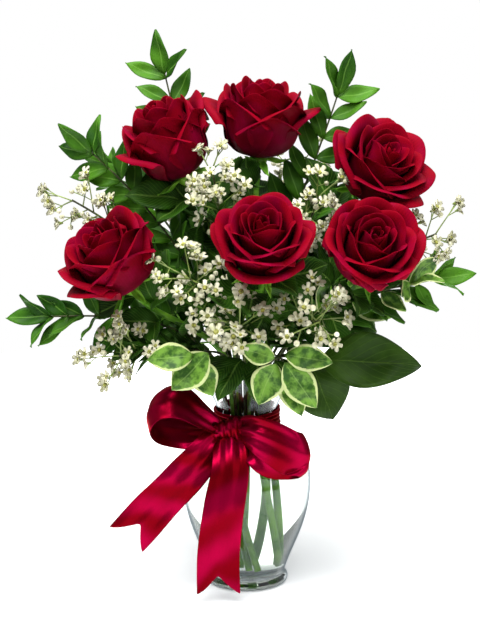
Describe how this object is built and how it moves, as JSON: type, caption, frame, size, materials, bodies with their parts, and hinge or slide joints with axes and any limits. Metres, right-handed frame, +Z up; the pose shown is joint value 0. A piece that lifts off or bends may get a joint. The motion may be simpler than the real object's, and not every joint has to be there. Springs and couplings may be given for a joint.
{
  "type": "roses in a vase",
  "caption": "Bouquet of red roses with greenery and small white waxflower, in a water-filled clear glass urn vase with a satin ribbon bow tied at its neck.",
  "frame": {"origin": "centre of the flat underside of the vase foot", "axes": "+Z up along the axis of the vase; the front of the bouquet, with the ribbon tails, faces -Y; +X is to the right seen from the front"},
  "size_m": [0.3565, 0.3112, 0.4295],
  "materials": {
    "glass": "clear polished soda-lime glass",
    "water": "clear still water",
    "satin": "dark red satin ribbon with a bright sheen",
    "petals": "velvety crimson rose petals, near black in the folds",
    "rose_stem": "smooth green stem, hip and sepals",
    "long_leaves": "long pointed mid-green leaves, slightly glossy",
    "waxflower": "cream florets with yellow-green centres on thin green stalks",
    "variegated_leaves": "bright green rounded leaves with cream edges",
    "broad_leaves": "broad dark green leathery leaves"
  },
  "bodies": {
    "root": {"vase": "glass", "water": "water", "ribbon_band": "satin", "ribbon_knot": "satin", "ribbon_loop_left": "satin", "ribbon_loop_right": "satin", "ribbon_tail_left": "satin", "ribbon_tail_front": "satin", "rose_1_bloom": "petals", "rose_2_bloom": "petals", "rose_3_bloom": "petals", "rose_4_bloom": "petals", "rose_5_bloom": "petals", "rose_6_bloom": "petals", "rose_1_stem": "rose_stem", "rose_2_stem": "rose_stem", "rose_3_stem": "rose_stem", "rose_4_stem": "rose_stem", "rose_5_stem": "rose_stem", "rose_6_stem": "rose_stem", "ruscus_1": "long_leaves", "ruscus_2": "long_leaves", "ruscus_3": "long_leaves", "ruscus_4": "long_leaves", "ruscus_5": "long_leaves", "ruscus_6": "long_leaves", "ruscus_7": "long_leaves", "ruscus_8": "long_leaves", "waxflower_1": "waxflower", "waxflower_2": "waxflower", "waxflower_3": "waxflower", "waxflower_4": "waxflower", "waxflower_5": "waxflower", "waxflower_6": "waxflower", "waxflower_7": "waxflower", "waxflower_8": "waxflower", "waxflower_9": "waxflower", "waxflower_10": "waxflower", "pittosporum_1": "variegated_leaves", "pittosporum_2": "variegated_leaves", "pittosporum_3": "variegated_leaves", "pittosporum_4": "variegated_leaves", "salal_1": "broad_leaves", "salal_2": "broad_leaves", "salal_3": "broad_leaves", "salal_4": "broad_leaves"}
  },
  "joints": []
}
